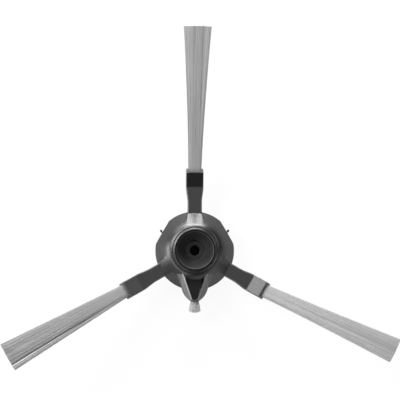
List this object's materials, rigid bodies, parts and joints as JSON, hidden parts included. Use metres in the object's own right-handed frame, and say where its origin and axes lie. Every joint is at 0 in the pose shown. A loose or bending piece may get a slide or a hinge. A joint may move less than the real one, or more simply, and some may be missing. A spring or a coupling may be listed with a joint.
{
  "type": "robot vacuum side brush",
  "caption": "Side brush: a flared moulded bell with three arms that hold fanned bristle tufts, a grooved nose over a short tuft, and a screw-down drive core.",
  "frame": {"origin": "on the hub axis, in the plane of the robot-side end of the drive core, which the brush rests on", "axes": "+Z along the hub axis toward the swept floor (the side with the screw recess), +Y along the first arm, the nose toward -Y"},
  "size_m": [0.1398, 0.1207, 0.0302],
  "materials": {
    "bell_plastic": "satin moulded",
    "core_plastic": "satin moulded",
    "bristle": "nylon monofilament",
    "short_bristle": "white nylon monofilament",
    "steel_wire": "drawn wire"
  },
  "bodies": {
    "root": {"bell": "bell_plastic", "drive_core": "core_plastic", "tuft_a": "bristle", "tuft_b": "bristle", "tuft_c": "bristle", "tuft_short": "short_bristle", "tuft_anchors": "steel_wire"}
  },
  "joints": []
}
